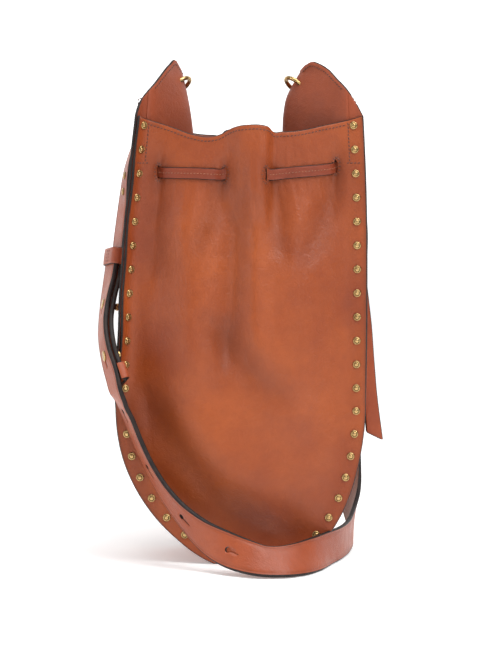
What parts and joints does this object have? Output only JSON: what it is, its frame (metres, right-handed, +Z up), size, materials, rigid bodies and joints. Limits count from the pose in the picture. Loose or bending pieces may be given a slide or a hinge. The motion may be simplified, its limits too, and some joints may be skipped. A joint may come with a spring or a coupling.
{
  "type": "bucket bag",
  "caption": "Tongue-shaped leather bucket bag with riveted edge flanges, folded side ears with rings, a threaded drawstring and a stud-buckled shoulder strap.",
  "frame": {"origin": "on the floor under the middle of the bag's two flange edges", "axes": "+Z up, -Y is the front of the bag, +X to the right of someone who looks at the front"},
  "size_m": [0.2271, 0.216, 0.3964],
  "materials": {
    "leather_shell": "tan smooth grain leather with a soft waxed sheen and dark painted edges",
    "leather_facing": "tan smooth leather, thin facing",
    "leather_strap": "tan bridle leather with stitched and dark painted edges",
    "brass": "aged brass, bright on top and darker round the rim"
  },
  "bodies": {
    "bag": {"front_panel": "leather_shell", "back_panel": "leather_shell", "front_mouth_facing": "leather_facing", "back_mouth_facing": "leather_facing", "left_gusset": "leather_shell", "right_gusset": "leather_shell", "base_gusset": "leather_shell", "left_ear_facing": "leather_facing", "right_ear_facing": "leather_facing", "front_studs_left": "brass", "front_studs_right": "brass", "back_studs_left": "brass", "back_studs_right": "brass", "front_rivet_caps": "brass", "back_rivet_caps": "brass", "drawstring": "leather_strap"},
    "strap": {"strap_short": "leather_strap", "strap_long": "leather_strap", "strap_rivets_left": "brass", "strap_rivets_right": "brass", "keeper_lower": "leather_strap", "collar_stud_upper": "brass", "collar_stud_lower": "brass", "collar_screw_upper": "brass", "collar_screw_lower": "brass"},
    "left_ring": {"left_ring": "brass"},
    "right_ring": {"right_ring": "brass"},
    "keeper_upper": {"keeper_upper": "leather_strap"},
    "tail_front": {"tail_front": "leather_strap"},
    "tail_back": {"tail_back": "leather_strap"}
  },
  "joints": [
    {"name": "strap_swing", "type": "hinge", "parent": "bag", "child": "strap", "pos_m": [0, 0, 0.377], "axis": [-1, 0, 0], "range_deg": [0, 4]},
    {"name": "left_ring_turn", "type": "hinge", "parent": "strap", "child": "left_ring", "pos_m": [-0.0508, 0, 0.377], "axis": [-0.565, 0.3366, 0.7533], "continuous": true},
    {"name": "right_ring_turn", "type": "hinge", "parent": "strap", "child": "right_ring", "pos_m": [0.0408, 0, 0.377], "axis": [-0.565, -0.3366, -0.7533], "continuous": true},
    {"name": "keeper_slide", "type": "slide", "parent": "strap", "child": "keeper_upper", "axis": [0.1267, 0.2026, 0.971], "range_m": [-0.006, 0.008]},
    {"name": "tail_front_swing", "type": "hinge", "parent": "bag", "child": "tail_front", "pos_m": [0.084, 0.0025, 0.3036], "axis": [0, -1, 0], "range_deg": [0, 35]},
    {"name": "tail_back_swing", "type": "hinge", "parent": "bag", "child": "tail_back", "pos_m": [0.084, 0.0075, 0.3036], "axis": [0, -1, 0], "range_deg": [0, 20]}
  ]
}
